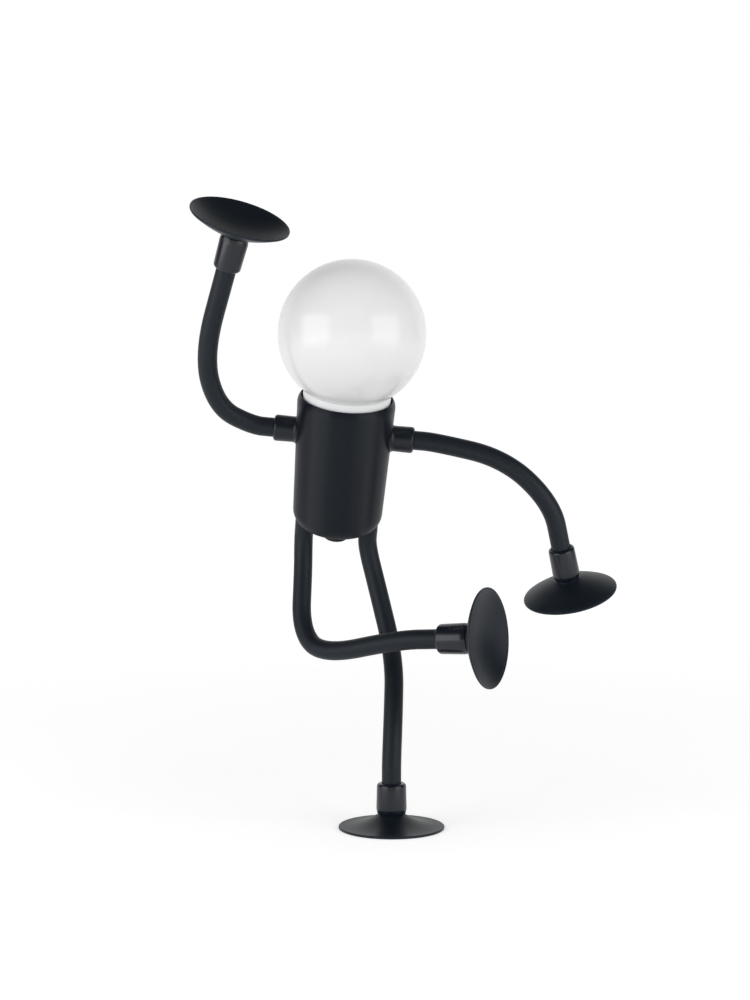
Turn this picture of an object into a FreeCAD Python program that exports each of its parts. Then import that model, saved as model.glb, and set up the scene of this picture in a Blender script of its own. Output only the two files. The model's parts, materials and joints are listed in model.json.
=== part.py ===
# Robot shaped desk lamp: an opal globe bulb in a tapered can, with two arms and two legs of
# gooseneck, each ending in a ferrule and a suction cup. It stands on one pressed cup.
# Lengths are millimetres and angles degrees. +Z is up, +X is to the viewer's right, -Y faces the
# viewer, and the origin is the middle of the standing cup's face on the floor.

import FreeCAD, Part
import math
import os
import Sketcher

from FreeCAD import Placement, Rotation, Vector

SIZES = {
    # The can's base: where it stands, how it tips to the right and leans to the viewer
    "can_x": -31.0,
    "can_y": 36.0,
    "can_z": 163.5,
    "can_tilt": 5.3,
    "can_lean": 24.0,
    # The can
    "can_height": 79.0,
    "can_base_radius": 25.0,
    "can_top_radius": 27.15,
    "can_wall": 2.0,
    "can_corner": 11.0,
    "lip_width": 1.7,
    "lip_height": 4.2,
    "fit": 0.1,
    "hole_overrun": 1.0,
    # Gooseneck: a steel core in a smooth sleeve, parted at round knuckles
    "tube_radius": 5.3,
    "core_radius": 3.2,
    "core_fit": 0.05,
    "knuckle_radius": 4.6,
    "knuckle_clearance": 0.15,
    "knuckle_half_gap": 2.3,
    "bend_share": 0.42,
    # Where the limbs leave the can
    "hip_inset": 6.8,
    "hip_run": 10.0,
    "hip_knuckle": 5.4,
    "ankle_run": 11.5,
    "shoulder_height": 57.0,
    "shoulder_reach": 38.9,
    "shoulder_run": 12.0,
    "shoulder_knuckle": 5.2,
    "shoulder_ferrule_radius": 7.35,
    "shoulder_round": 1.2,
    "mouth_clearance": 0.2,
    "mouth_depth": 4.0,
    "limb_nut_radius": 4.8,
    "limb_nut_thick": 3.0,
    "core_tail": 1.2,
    # Ferrule and suction cup at the end of each limb
    "hand_ferrule_radius": 7.6,
    "foot_ferrule_radius": 8.3,
    "ferrule_length": 16.5,
    "ferrule_mouth_drop": 0.3,
    "ferrule_cup_drop": 1.0,
    "ferrule_taper": 3.6,
    "ferrule_tube_round": 1.6,
    "ferrule_cup_round": 0.5,
    "tube_seat": 8.0,
    "plug_radius": 4.0,
    "plug_length": 6.5,
    "cup_radius": 26.5,
    "cup_height": 12.2,
    "cup_rim": 1.0,
    "neck_step": 0.2,
    "cup_web": 3.4,
    "cup_back_arc": 40.0,
    "cup_hollow_arc": 46.0,
    "pressed_radius": 28.9,
    "pressed_height": 8.0,
    "pressed_rim": 1.3,
    "pressed_arc": 34.0,
    # Plates, standoffs and screws inside the can
    "chassis_height": 7.8,
    "plate_thick": 2.5,
    "plate_clearance": 0.1,
    "standoff_radius": 2.6,
    "standoff_length": 17.5,
    "standoff_circle": 12.5,
    "standoff_count": 3,
    "standoff_angle": 30.0,
    "socket_plate_gap": 1.2,
    "lead_hole": 6.0,
    "screw_radius": 1.5,
    "screw_head_radius": 2.7,
    "screw_head": 1.7,
    "flat_head": 1.3,
    "screw_grip": 2.5,
    "socket_screw_offset": 9.5,
    # Lamp socket
    "socket_radius": 16.0,
    "socket_bore": 14.15,
    "socket_height": 28.2,
    "socket_floor": 4.0,
    "contact_sleeve_outer": 14.1,
    "contact_sleeve_inner": 13.5,
    "contact_sleeve_lift": 2.2,
    "contact_sleeve_height": 21.0,
    "contact_radius": 4.0,
    "contact_thick": 1.2,
    # Bulb
    "globe_radius": 40.0,
    "globe_wall": 1.2,
    "globe_neck": 24.0,
    "collar_radius": 24.1,
    "collar_show": 3.8,
    "cone_length": 10.5,
    "cone_foot": 14.2,
    "spigot_radius": 12.85,
    "spigot_length": 6.5,
    "housing_bore": 11.2,
    "board_radius": 22.2,
    "board_thick": 1.6,
    "board_drop": 2.4,
    "board_ledge": 19.5,
    "chip_size": 3.0,
    "chip_height": 0.7,
    "chip_circle": 13.0,
    "chip_count": 8,
    "cap_radius": 13.3,
    "cap_wall": 0.4,
    "cap_length": 19.9,
    "cap_foot": 9.5,
    "cap_foot_length": 2.8,
    "glass_thick": 2.0,
    "glass_step": 0.8,
    "tip_radius": 4.4,
    "tip_height": 1.4,
    # Push switch under the can
    "bushing_radius": 4.8,
    "bushing_drop": 2.4,
    "switch_radius": 8.0,
    "switch_height": 12.0,
    "switch_floor": 1.7,
    "switch_roof": 2.0,
    "switch_cavity": 6.2,
    "ring_nut_radius": 7.2,
    "ring_nut_thick": 2.0,
    "stem_radius": 2.6,
    "stem_clearance": 0.1,
    "stem_collar_radius": 5.4,
    "stem_collar": 1.5,
    "stem_tail": 2.5,
    "button_radius": 6.75,
    "button_thick": 2.4,
    "button_drop": 4.8,
    "button_round": 0.9,
    "spring_radius": 4.2,
    "spring_wire": 0.35,
    "spring_turns": 4.0,
    # Power inlet at the back
    "inlet_height": 19.5,
    "inlet_radius": 4.0,
    "inlet_depth": 12.5,
    "inlet_flange_radius": 5.5,
    "inlet_flange": 1.5,
    "inlet_bore": 2.75,
    "inlet_bore_depth": 9.0,
    "inlet_pin": 1.0,
    "inlet_nut_radius": 5.6,
    "inlet_nut_thick": 2.2,
    "lead_radius": 0.8,
    "lead_spread": 2.4,
}

# Each limb's centre line after its first run out of the can: the points where its runs meet.
# Then its second and third knuckle: the corner that each comes after, and how far along the run.
LIMBS = {
    "left_arm": {
        "corners": ((-95.5, 4.0, 229.5), (-101.5, -11.0, 256.5), (-86.5, -35.0, 299.5)),
        "knuckles": (("corner_1", 13.5), ("corner_2", 26.0)),
    },
    "right_arm": {
        "corners": ((63.0, 10.0, 201.5), (89.0, 12.0, 176.5), (95.0, 21.0, 152.0)),
        "knuckles": (("first_bend", 17.0), ("corner_1", 19.5)),
    },
    "raised_leg": {
        "corners": (
            (-50.0, 38.0, 138.0),
            (-51.0, 28.0, 105.5),
            (-38.5, 14.0, 92.4),
            (3.8, -14.3, 103.8),
            (25.2, -25.1, 105.2),
        ),
        "knuckles": (("corner_1", 15.0), ("corner_3", 17.0)),
    },
    "standing_leg": {
        "corners": ((-8.0, 40.0, 130.0), (2.0, 26.0, 89.5), (1.0, 6.0, 59.5)),
        "knuckles": (("corner_1", 19.0), ("corner_3", 12.5)),
    },
}
for limb, route in LIMBS.items():
    for number, corner in enumerate(route["corners"], 1):
        for axis, value in zip("xyz", corner):
            SIZES[f"{limb}_corner_{number}_{axis}"] = value
    for number, (_, along) in enumerate(route["knuckles"], 2):
        SIZES[f"{limb}_knuckle_{number}"] = along

document = FreeCAD.newDocument("robot_lamp")
sheet = document.addObject("Spreadsheet::Sheet", "Sizes")
for row, (alias, value) in enumerate(SIZES.items(), 1):
    sheet.set(f"A{row}", alias)
    sheet.set(f"B{row}", str(value))
    sheet.setAlias(f"B{row}", alias)
document.recompute()


class Measure:
    """A number, with the expression on the sheet that gives it."""

    def __init__(self, value, text):
        self.value = value
        self.text = text

    def join(self, sign, other, value):
        return Measure(value, f"({self.text} {sign} {measure(other).text})")

    def __add__(self, other):
        return self.join("+", other, self.value + float(other))

    def __sub__(self, other):
        return self.join("-", other, self.value - float(other))

    def __mul__(self, other):
        return self.join("*", other, self.value * float(other))

    def __truediv__(self, other):
        return self.join("/", other, self.value / float(other))

    def __neg__(self):
        return Measure(-self.value, f"(0 - {self.text})")

    def __float__(self):
        return self.value


def measure(number):
    if isinstance(number, Measure):
        return number
    return Measure(float(number), str(number))


def root(number):
    return Measure(math.sqrt(number.value), f"sqrt({number.text})")


def square(number):
    return number * number


class SheetSizes:
    """Each size on the sheet, by its name."""

    def __getattr__(self, alias):
        return Measure(float(sheet.get(alias)), f"Sizes.{alias}")


size = SheetSizes()


def bind(thing, **properties):
    for name, number in properties.items():
        thing.setExpression(name, measure(number).text)
    return thing


def labelled(kind, label):
    thing = document.addObject(kind, label)
    thing.Label = label
    return thing


# Pieces are turned from a profile of (radius, height) points. An arc comes between two points as
# (radius, side): side is 1 where its centre is to the left of the profile's way round, else -1.
def profile_edge(start, end, arc):
    first = Vector(float(start[0]), float(start[1]), 0)
    last = Vector(float(end[0]), float(end[1]), 0)
    if arc is None:
        return Part.LineSegment(first, last)
    radius, side = float(arc[0]), arc[1]
    chord = last - first
    left = Vector(-chord.y, chord.x, 0).normalize()
    middle = (first + last) * 0.5
    rise = math.sqrt(radius**2 - (chord.Length / 2) ** 2)
    centre = middle + left * (rise * side)
    begin = math.atan2(first.y - centre.y, first.x - centre.x)
    finish = math.atan2(last.y - centre.y, last.x - centre.x)
    circle = Part.Circle(centre, Vector(0, 0, 1), radius)
    if side < 0:
        begin, finish = finish, begin
    return Part.ArcOfCircle(circle, begin, finish)


def hold_point(sketch, edge, end, radius, height):
    """Puts one end of an edge at its radius and height."""
    for number, kind, axis in ((radius, "DistanceX", -2), (height, "DistanceY", -1)):
        if float(number) == 0:
            sketch.addConstraint(Sketcher.Constraint("PointOnObject", edge, end, axis))
            continue
        index = sketch.addConstraint(Sketcher.Constraint(kind, -1, 1, edge, end, float(number)))
        sketch.setExpression(f"Constraints[{index}]", measure(number).text)


def turned(label, profile):
    body = labelled("PartDesign::Body", label)
    plane = next(item for item in body.Origin.OriginFeatures if item.Role == "XZ_Plane")
    sketch = body.newObject("Sketcher::SketchObject", label + "_profile")
    sketch.AttachmentSupport = [(plane, "")]
    sketch.MapMode = "FlatFace"
    points = [item for item in profile if not is_arc(item)]
    arcs = [None] * len(points)
    seen = 0
    for item in profile:
        if is_arc(item):
            arcs[seen - 1] = item
        else:
            seen += 1
    ends = []
    for index, (point, arc) in enumerate(zip(points, arcs)):
        following = points[(index + 1) % len(points)]
        edge = sketch.addGeometry(profile_edge(point, following, arc), False)
        backwards = arc is not None and arc[1] < 0
        ends.append((edge, 2, 1) if backwards else (edge, 1, 2))
        if arc is not None:
            held = sketch.addConstraint(Sketcher.Constraint("Radius", edge, float(arc[0])))
            sketch.setExpression(f"Constraints[{held}]", measure(arc[0]).text)
    for index, (edge, begin, finish) in enumerate(ends):
        following, following_begin, _ = ends[(index + 1) % len(ends)]
        sketch.addConstraint(
            Sketcher.Constraint("Coincident", edge, finish, following, following_begin)
        )
        hold_point(sketch, edge, begin, *points[index])
    revolution = body.newObject("PartDesign::Revolution", label + "_turned")
    revolution.Profile = sketch
    revolution.ReferenceAxis = (sketch, ["V_Axis"])
    revolution.Angle = 360.0
    sketch.Visibility = False
    document.recompute()
    return body


def is_arc(item):
    return isinstance(item[1], int) and item[1] in (1, -1)


def round_edges(body, label, radius, corners):
    """Rounds the circles at each (radius, height) of a turned body."""
    base = body.Tip
    names = []
    for number, edge in enumerate(base.Shape.Edges, 1):
        if not isinstance(edge.Curve, Part.Circle):
            continue
        for corner_radius, height in corners:
            level = edge.Curve.Center.z
            if math.isclose(edge.Curve.Radius, float(corner_radius), abs_tol=1e-5) and math.isclose(
                level, float(height), abs_tol=1e-5
            ):
                names.append(f"Edge{number}")
    fillet = body.newObject("PartDesign::Fillet", label)
    fillet.Base = (base, names)
    bind(fillet, Radius=radius)
    body.Tip = fillet
    document.recompute()
    return body


def cylinder(label, radius, height, place=None):
    thing = bind(labelled("Part::Cylinder", label), Radius=radius, Height=height)
    thing.Placement = place or Placement()
    return thing


def hexagon(label, radius, height, place=None):
    thing = labelled("Part::Prism", label)
    thing.Polygon = 6
    bind(thing, Circumradius=radius, Height=height)
    thing.Placement = place or Placement()
    return thing


def cut(label, base, tools):
    tool = tools[0]
    if len(tools) > 1:
        tool = labelled("Part::MultiFuse", label + "_tools")
        tool.Shapes = tools
    result = labelled("Part::Cut", label)
    result.Base = base
    result.Tool = tool
    return result


def fused(label, shapes):
    result = labelled("Part::MultiFuse", label)
    result.Shapes = shapes
    return result


def grouped(label, shapes):
    result = labelled("Part::Compound", label)
    result.Links = shapes
    return result


def at(x=0.0, y=0.0, z=0.0, turn=None):
    return Placement(Vector(float(x), float(y), float(z)), turn or Rotation())


# The can's own frame: its origin is the middle of its base, +Z goes up its axis to the globe, +X
# to the right shoulder and +Y to its back.
CAN = Placement(
    Vector(float(size.can_x), float(size.can_y), float(size.can_z)),
    Rotation(Vector(0, 1, 0), float(size.can_tilt))
    * Rotation(Vector(1, 0, 0), float(size.can_lean)),
)
TO_RIGHT = Rotation(Vector(0, 1, 0), 90)
TO_LEFT = Rotation(Vector(0, 1, 0), -90)
TO_BACK = Rotation(Vector(1, 0, 0), -90)
OVER = Rotation(Vector(1, 0, 0), 180)
nodes = []


def keep(thing, place=None):
    """Places a finished piece and lists it as a node."""
    if place is not None:
        thing.Placement = place.multiply(thing.Placement)
    nodes.append(thing)
    return thing


def can_inner_radius(height):
    slope = (size.can_top_radius - size.can_base_radius) / size.can_height
    return size.can_base_radius - size.can_wall + slope * height


# Levels up the can's axis
chassis_top = size.chassis_height + size.plate_thick
socket_plate_level = chassis_top + size.standoff_length
socket_level = socket_plate_level + size.plate_thick
contact_level = socket_level + size.socket_floor
tip_level = contact_level + size.contact_thick
glass_level = tip_level + size.tip_height
cap_level = glass_level + size.glass_step
cap_top = cap_level + size.cap_foot_length + size.cap_length
housing_level = cap_top + size.fit
# The bulb's collar reaches up past the can's lip, and the globe begins at its seam
seam_level = size.can_height + size.collar_show
globe_level = seam_level + root(square(size.globe_radius) - square(size.globe_neck))

hip_offset = size.can_base_radius - size.hip_inset
sleeve_bore = size.core_radius + size.core_fit
core_hole = size.core_radius + size.fit
screw_hole = size.screw_radius + size.fit


# The can: a spun metal cup, open at the top, with holes for the limbs, switch and inlet
def make_can():
    inner_base = size.can_base_radius - size.can_wall
    inner_top = size.can_top_radius - size.can_wall
    lip_level = size.can_height - size.lip_height
    lip_foot = can_inner_radius(lip_level) + size.can_wall
    lip_edge = size.can_top_radius - size.lip_width
    inset = lip_foot - lip_edge
    lip_arc = (square(inset) + square(size.lip_height)) / (inset * 2)
    body = turned(
        "can_turned",
        [
            (0, 0),
            (size.can_base_radius, 0),
            (lip_foot, lip_level),
            (lip_arc, 1),
            (lip_edge, size.can_height),
            (inner_top, size.can_height),
            (inner_base, size.can_wall),
            (0, size.can_wall),
        ],
    )
    round_edges(body, "can_outer_corner", size.can_corner, [(size.can_base_radius, 0)])
    round_edges(
        body, "can_inner_corner", size.can_corner - size.can_wall, [(inner_base, size.can_wall)]
    )
    leg_hole = size.tube_radius + size.mouth_clearance
    across = size.can_top_radius + size.can_wall
    below = -size.hole_overrun
    depth = size.chassis_height + size.hole_overrun
    tools = [
        cylinder("can_switch_hole", size.bushing_radius + size.fit, depth, at(z=below)),
        cylinder(
            "can_inlet_hole",
            size.inlet_radius + size.fit,
            across,
            at(z=size.inlet_height, turn=TO_BACK),
        ),
    ]
    for side, turn in ((1, TO_RIGHT), (-1, TO_LEFT)):
        leg_place = at(x=hip_offset * side, z=below)
        tools.append(cylinder(f"can_leg_hole_{side + 2}", leg_hole, depth, leg_place))
        arm_place = at(z=size.shoulder_height, turn=turn)
        tools.append(cylinder(f"can_arm_hole_{side + 2}", core_hole, across, arm_place))
    keep(cut("body_shell", body, tools), CAN)


# A steel disc seated on the can's inside corner carries the legs, the switch and the standoffs.
# A second disc on the standoffs carries the lamp socket.
def make_plates():
    corner_centre = size.can_base_radius - size.can_corner
    inner_corner = size.can_corner - size.can_wall
    seat = root(square(inner_corner) - square(size.can_corner - size.chassis_height))
    chassis_radius = corner_centre + seat - size.plate_clearance
    level = at(z=size.chassis_height)
    disc = cylinder("chassis_disc", chassis_radius, size.plate_thick, level)
    tools = [cylinder("chassis_switch_hole", size.bushing_radius + size.fit, size.plate_thick, level)]
    for side in (1, -1):
        place = at(x=hip_offset * side, z=size.chassis_height)
        tools.append(cylinder(f"chassis_leg_hole_{side + 2}", core_hole, size.plate_thick, place))
    for number, place in enumerate(standoff_places(size.chassis_height), 1):
        tools.append(cylinder(f"chassis_screw_hole_{number}", screw_hole, size.plate_thick, place))
    keep(cut("chassis_plate", disc, tools), CAN)

    level = at(z=socket_plate_level)
    plate_radius = can_inner_radius(socket_plate_level) - size.socket_plate_gap
    disc = cylinder("socket_disc", plate_radius, size.plate_thick, level)
    tools = [cylinder("socket_plate_lead_hole", size.lead_hole, size.plate_thick, level)]
    for number, place in enumerate(standoff_places(socket_level, OVER), 1):
        tools.append(cylinder(f"socket_plate_hole_{number}", screw_hole, size.plate_thick, place))
        tools.append(head_cone(f"socket_plate_sink_{number}", size.fit, place))
    for side in (1, -1):
        place = at(x=size.socket_screw_offset * side, z=socket_plate_level)
        label = f"socket_plate_screw_hole_{side + 2}"
        tools.append(cylinder(label, screw_hole, size.plate_thick, place))
    keep(cut("socket_plate", disc, tools), CAN)


def standoff_places(level, turn=None):
    """Places of the three standoffs, at a level of the can."""
    places = []
    count = int(float(size.standoff_count))
    for number in range(count):
        angle = math.radians(float(size.standoff_angle) + 360 / count * number)
        circle = float(size.standoff_circle)
        places.append(at(circle * math.cos(angle), circle * math.sin(angle), level, turn))
    return places


def make_standoffs():
    spacers = []
    for number, place in enumerate(standoff_places(chassis_top), 1):
        spacer = cylinder(f"spacer_{number}", size.standoff_radius, size.standoff_length, place)
        bore = cylinder(f"spacer_bore_{number}", screw_hole, size.standoff_length, place)
        spacers.append(cut(f"standoff_{number}", spacer, [bore]))
    keep(grouped("standoffs", spacers), CAN)


def head_cone(label, clearance, place=None):
    """A flat screw head, or its sink with a clearance, that narrows from its place."""
    cone = labelled("Part::Cone", label)
    bind(
        cone,
        Radius1=size.screw_head_radius + clearance,
        Radius2=size.screw_radius + clearance,
        Height=size.flat_head,
    )
    cone.Placement = place or Placement()
    return cone


def screw(label, head, place):
    """A screw whose shank goes up from its place."""
    shank = cylinder(label + "_shank", size.screw_radius, size.plate_thick + size.screw_grip)
    whole = fused(label, [head, shank])
    whole.Placement = place
    return whole


def make_screws():
    """Pan heads under both plates, and flat heads that let the socket stand on the upper one."""
    under = standoff_places(size.chassis_height)
    for side in (1, -1):
        under.append(at(x=size.socket_screw_offset * side, z=socket_plate_level))
    screws = []
    for number, place in enumerate(under, 1):
        level = at(z=-size.screw_head)
        head = cylinder(f"pan_head_{number}", size.screw_head_radius, size.screw_head, level)
        screws.append(screw(f"pan_screw_{number}", head, place))
    for number, place in enumerate(standoff_places(socket_level, OVER), 1):
        screws.append(screw(f"flat_screw_{number}", head_cone(f"flat_head_{number}", 0.0), place))
    keep(grouped("plate_screws", screws), CAN)


# The lamp socket: an insulating cup, a brass sleeve and a brass middle contact
def make_socket():
    cup = turned(
        "socket_cup",
        [
            (0, 0),
            (size.socket_radius, 0),
            (size.socket_radius, size.socket_height),
            (size.socket_bore, size.socket_height),
            (size.socket_bore, size.socket_floor),
            (0, size.socket_floor),
        ],
    )
    holes = []
    for side in (1, -1):
        place = at(x=size.socket_screw_offset * side)
        depth = size.screw_grip + size.fit
        holes.append(cylinder(f"socket_screw_hole_{side + 2}", size.screw_radius, depth, place))
    insulator = cut("socket_insulator", cup, holes)
    keep(insulator, CAN.multiply(at(z=socket_level)))

    sleeve = turned(
        "socket_sleeve",
        [
            (size.contact_sleeve_inner, 0),
            (size.contact_sleeve_outer, 0),
            (size.contact_sleeve_outer, size.contact_sleeve_height),
            (size.contact_sleeve_inner, size.contact_sleeve_height),
        ],
    )
    keep(sleeve, CAN.multiply(at(z=contact_level + size.contact_sleeve_lift)))
    contact = cylinder("socket_contact", size.contact_radius, size.contact_thick)
    keep(contact, CAN.multiply(at(z=contact_level)))


# The bulb: opal globe, white housing, board of LED chips, screw cap, glass and tip
def make_bulb():
    outside = labelled("Part::Sphere", "globe_outside")
    inside = labelled("Part::Sphere", "globe_inside")
    bind(outside, Radius=size.globe_radius)
    bind(inside, Radius=size.globe_radius - size.globe_wall)
    ratio = size.globe_neck / size.globe_radius
    outside.setExpression("Angle1", f"-acos({ratio.text})")
    keep(cut("bulb_globe", outside, [inside]), CAN.multiply(at(z=globe_level)))

    top = seam_level - housing_level
    recess = size.board_radius + size.fit
    housing = turned(
        "bulb_housing",
        [
            (size.cone_foot, 0),
            (size.collar_radius, size.cone_length),
            (size.collar_radius, top),
            (recess, top),
            (recess, top - size.board_drop),
            (size.board_ledge, top - size.board_drop),
            (size.board_ledge, size.cone_length),
            (size.housing_bore, 0),
            (size.housing_bore, -size.spigot_length),
            (size.spigot_radius, -size.spigot_length),
            (size.spigot_radius, 0),
        ],
    )
    keep(housing, CAN.multiply(at(z=housing_level)))

    disc = cylinder("board_disc", size.board_radius, size.board_thick)
    chips = []
    count = int(float(size.chip_count))
    for number in range(count):
        chip = bind(
            labelled("Part::Box", f"led_chip_{number + 1}"),
            Length=size.chip_size,
            Width=size.chip_size,
            Height=size.chip_height,
        )
        turn = Rotation(Vector(0, 0, 1), 360 / count * number)
        corner = Vector(float(size.chip_circle), -float(size.chip_size) / 2, float(size.board_thick))
        chip.Placement = Placement(turn.multVec(corner), turn)
        chips.append(chip)
    board = fused("led_board", [disc] + chips)
    keep(board, CAN.multiply(at(z=seam_level - size.board_drop)))

    inner_foot = size.cap_foot - size.cap_wall
    inner_radius = size.cap_radius - size.cap_wall
    whole_length = size.cap_foot_length + size.cap_length
    cap = turned(
        "bulb_screw_cap",
        [
            (inner_foot, 0),
            (size.cap_foot, 0),
            (size.cap_radius, size.cap_foot_length),
            (size.cap_radius, whole_length),
            (inner_radius, whole_length),
            (inner_radius, size.cap_foot_length),
        ],
    )
    keep(cap, CAN.multiply(at(z=cap_level)))
    glass_radius = inner_foot - size.core_fit
    glass = turned(
        "bulb_cap_glass",
        [
            (0, 0),
            (size.tip_radius + size.tip_height, 0),
            (glass_radius, size.glass_step),
            (glass_radius, size.glass_thick),
            (0, size.glass_thick),
        ],
    )
    keep(glass, CAN.multiply(at(z=glass_level)))
    tip = turned(
        "bulb_tip_contact",
        [
            (0, 0),
            (size.tip_radius - size.tip_height / 2, 0),
            (size.tip_radius, size.tip_height / 2),
            (size.tip_radius, size.tip_height),
            (0, size.tip_height),
        ],
    )
    keep(tip, CAN.multiply(at(z=tip_level)))


# The push switch: its bushing goes down through both plates, and a ring nut holds it from below.
# The button's collar rests on the cavity's floor, with the spring above it.
cavity_floor = chassis_top + size.switch_floor
cavity_roof = chassis_top + size.switch_height - size.switch_roof
collar_top = cavity_floor + size.stem_collar


def make_switch():
    bore = size.stem_radius + size.stem_clearance
    switch_top = chassis_top + size.switch_height
    body = turned(
        "switch_body",
        [
            (bore, -size.bushing_drop),
            (size.bushing_radius, -size.bushing_drop),
            (size.bushing_radius, chassis_top),
            (size.switch_radius, chassis_top),
            (size.switch_radius, switch_top),
            (0, switch_top),
            (0, cavity_roof),
            (size.switch_cavity, cavity_roof),
            (size.switch_cavity, cavity_floor),
            (bore, cavity_floor),
        ],
    )
    keep(body, CAN)
    blank = hexagon("ring_nut_blank", size.ring_nut_radius, size.ring_nut_thick)
    hole = cylinder("ring_nut_hole", size.bushing_radius + size.core_fit, size.ring_nut_thick)
    keep(cut("switch_nut", blank, [hole]), CAN.multiply(at(z=-size.ring_nut_thick)))

    bottom = -(size.button_drop + size.button_thick)
    button = turned(
        "switch_button",
        [
            (0, bottom),
            (size.button_radius, bottom),
            (size.button_radius, -size.button_drop),
            (size.stem_radius, -size.button_drop),
            (size.stem_radius, cavity_floor),
            (size.stem_collar_radius, cavity_floor),
            (size.stem_collar_radius, collar_top),
            (size.stem_radius, collar_top),
            (size.stem_radius, collar_top + size.stem_tail),
            (0, collar_top + size.stem_tail),
        ],
    )
    rim = [(size.button_radius, bottom), (size.button_radius, -size.button_drop)]
    round_edges(button, "button_rim", size.button_round, rim)
    keep(button, CAN)
    make_spring()


def make_spring():
    wire_radius = float(size.spring_wire)
    coil_radius = float(size.spring_radius)
    height = float(cavity_roof - collar_top) - 2 * wire_radius
    helix = Part.makeHelix(height / float(size.spring_turns), height, coil_radius)
    section = Part.Circle(Vector(coil_radius, 0, 0), Vector(0, 1, 0), wire_radius).toShape()
    coil = Part.Wire(helix.Edges).makePipeShell([Part.Wire(section)], True, True)
    spring = labelled("Part::Feature", "button_spring")
    spring.Shape = coil
    keep(spring, CAN.multiply(at(z=float(collar_top) + wire_radius)))


# The power inlet: a round socket with a middle pin, through the can's back, with a nut inside.
# Its frame has +Z out of the back of the can.
inlet_top = size.inlet_height + size.inlet_flange_radius
inlet_wall = can_inner_radius(inlet_top) + size.can_wall


def make_inlet():
    inlet_place = CAN.multiply(at(z=size.inlet_height, turn=TO_BACK))
    inner_end = inlet_wall - size.inlet_depth
    face = inlet_wall + size.fit + size.inlet_flange
    jack = turned(
        "power_inlet",
        [
            (0, inner_end),
            (size.inlet_radius, inner_end),
            (size.inlet_radius, inlet_wall + size.fit),
            (size.inlet_flange_radius, inlet_wall + size.fit),
            (size.inlet_flange_radius, face),
            (size.inlet_bore, face),
            (size.inlet_bore, face - size.inlet_bore_depth),
            (size.inlet_pin, face - size.inlet_bore_depth),
            (size.inlet_pin, face - size.inlet_flange),
            (0, face - size.inlet_flange),
        ],
    )
    keep(jack, inlet_place)
    inner_wall = can_inner_radius(size.inlet_height - size.inlet_nut_radius)
    seat = root(square(inner_wall) - square(size.inlet_nut_radius)) - size.plate_clearance
    blank = hexagon("inlet_nut_blank", size.inlet_nut_radius, size.inlet_nut_thick)
    hole = cylinder("inlet_nut_hole", size.inlet_radius + size.core_fit, size.inlet_nut_thick)
    nut = cut("inlet_nut", blank, [hole])
    keep(nut, inlet_place.multiply(at(z=seat - size.inlet_nut_thick)))


def parameter_at(edge, distance):
    share = min(max(distance / edge.Length, 0.0), 1.0)
    return edge.FirstParameter + (edge.LastParameter - edge.FirstParameter) * share


# Centre lines: straight runs joined by tangent arcs
class CentreLine:
    def __init__(self, points, tail=0.0, names=()):
        self.names = names
        self.edges = []
        self.run_starts = []
        share = float(size.bend_share)
        begin = points[0]
        cut_back = 0.0
        length = 0.0
        for index in range(1, len(points)):
            corner = points[index]
            into = (corner - points[index - 1]).normalize()
            end = corner
            next_cut = 0.0
            if index < len(points) - 1:
                out = (points[index + 1] - corner).normalize()
                shorter = min((corner - points[index - 1]).Length, (points[index + 1] - corner).Length)
                next_cut = shorter * share
                end = corner - into * next_cut
            self.run_starts.append(length - cut_back)
            length += self.add(Part.LineSegment(begin, end).toShape())
            if index < len(points) - 1:
                turn = into.getAngle(out)
                inward = (out - into).normalize()
                radius = next_cut / math.tan(turn / 2)
                middle = corner + inward * (radius / math.cos(turn / 2) - radius)
                begin = corner + out * next_cut
                length += self.add(Part.Arc(end, middle, begin).toShape())
                # A run's start is counted from its corner, along the run
                cut_back = next_cut
        if tail:
            length += self.add(Part.LineSegment(end, end + into * tail).toShape())
        self.length = length
        self.direction = into

    def add(self, edge):
        self.edges.append(edge)
        return edge.Length

    def after(self, corner, along):
        """How far down the line a place on the run after a corner is."""
        return self.run_starts[self.names.index(corner)] + along

    def stretch(self, begin, finish):
        """The part of the line between two lengths, as a wire."""
        pieces = []
        passed = 0.0
        for edge in self.edges:
            low = max(begin - passed, 0.0)
            high = min(finish - passed, edge.Length)
            if high - low > 1e-6:
                first, last = parameter_at(edge, low), parameter_at(edge, high)
                pieces.append(edge.Curve.toShape(first, last))
            passed += edge.Length
        return Part.Wire(pieces)

    def point(self, distance):
        passed = 0.0
        for edge in self.edges:
            if distance <= passed + edge.Length + 1e-9:
                return edge.valueAt(parameter_at(edge, distance - passed))
            passed += edge.Length
        raise ValueError("past the end of the line")


def rod(wire, radius):
    """A round bar along a wire."""
    edge = wire.OrderedEdges[0]
    begin = edge.valueAt(edge.FirstParameter)
    along = edge.tangentAt(edge.FirstParameter)
    section = Part.Wire(Part.Circle(begin, along, radius).toShape())
    return wire.makePipeShell([section], True, False)


def feature(label, shape):
    thing = labelled("Part::Feature", label)
    thing.Shape = shape
    return keep(thing)


def can_point(x, z):
    return CAN.multVec(Vector(float(x), 0, float(z)))


def limb_start(limb):
    """Where a limb leaves the can, and which way."""
    if limb == "left_arm":
        return can_point(-size.shoulder_reach, size.shoulder_height), CAN.Rotation.multVec(
            Vector(-1, 0, 0)
        )
    if limb == "right_arm":
        return can_point(size.shoulder_reach, size.shoulder_height), CAN.Rotation.multVec(
            Vector(1, 0, 0)
        )
    side = -1 if limb == "raised_leg" else 1
    return can_point(hip_offset * side, 0), CAN.Rotation.multVec(Vector(0, 0, -1))


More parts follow.
